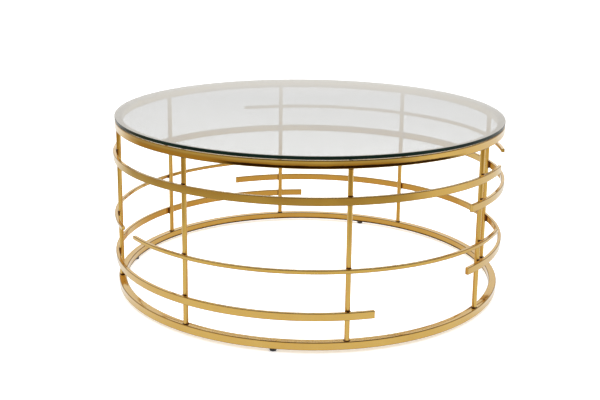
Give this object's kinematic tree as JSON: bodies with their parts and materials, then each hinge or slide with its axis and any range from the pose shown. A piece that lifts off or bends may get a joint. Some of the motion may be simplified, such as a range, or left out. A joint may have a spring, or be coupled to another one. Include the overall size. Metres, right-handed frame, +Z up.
{
  "type": "round coffee table",
  "caption": "Low round table: a clear glass disc lying on an open frame of gold rings, upright posts and staggered bent arcs, on screw-in levelling glides.",
  "frame": {"origin": "on the floor under the middle of the table", "axes": "+Z up; +X from the middle towards post 1, with the eight posts at every 45 degrees anticlockwise from above; -Y is the side with the long middle and upper front arcs"},
  "size_m": [1.0122, 1.0122, 0.45],
  "materials": {
    "gold_tube": "mirror-polished steel tube with a gold coating",
    "clear_glass": "clear tempered glass with a polished rim",
    "clear_silicone": "clear soft silicone",
    "plated_steel": "zinc-plated steel",
    "black_plastic": "matt moulded plastic"
  },
  "bodies": {
    "frame": {"bottom_ring": "gold_tube", "top_ring": "gold_tube", "post_1": "gold_tube", "post_2": "gold_tube", "post_3": "gold_tube", "post_4": "gold_tube", "post_5": "gold_tube", "post_6": "gold_tube", "post_7": "gold_tube", "post_8": "gold_tube", "upper_front_arc": "gold_tube", "high_right_arc": "gold_tube", "low_right_arc": "gold_tube", "low_left_arc": "gold_tube", "upper_back_arc": "gold_tube", "middle_back_arc": "gold_tube", "middle_front_arc": "gold_tube", "tall_arc_end_plates": "gold_tube", "thin_arc_end_plates": "gold_tube", "glass_bumpers": "clear_silicone", "rivet_nut_1": "plated_steel", "rivet_nut_2": "plated_steel", "rivet_nut_3": "plated_steel", "rivet_nut_4": "plated_steel"},
    "glass": {"glass_top": "clear_glass"},
    "glide_1": {"glide_pad_1": "black_plastic", "glide_stud_1": "plated_steel"},
    "glide_2": {"glide_pad_2": "black_plastic", "glide_stud_2": "plated_steel"},
    "glide_3": {"glide_pad_3": "black_plastic", "glide_stud_3": "plated_steel"},
    "glide_4": {"glide_pad_4": "black_plastic", "glide_stud_4": "plated_steel"}
  },
  "joints": [
    {"name": "glass_lift", "type": "slide", "parent": "frame", "child": "glass", "axis": [0, 0, 1], "range_m": [0, 0.15]},
    {"name": "glide_1_height", "type": "slide", "parent": "frame", "child": "glide_1", "axis": [0, 0, -1], "range_m": [0, 0.006]},
    {"name": "glide_2_height", "type": "slide", "parent": "frame", "child": "glide_2", "axis": [0, 0, -1], "range_m": [0, 0.006]},
    {"name": "glide_3_height", "type": "slide", "parent": "frame", "child": "glide_3", "axis": [0, 0, -1], "range_m": [0, 0.006]},
    {"name": "glide_4_height", "type": "slide", "parent": "frame", "child": "glide_4", "axis": [0, 0, -1], "range_m": [0, 0.006]}
  ]
}
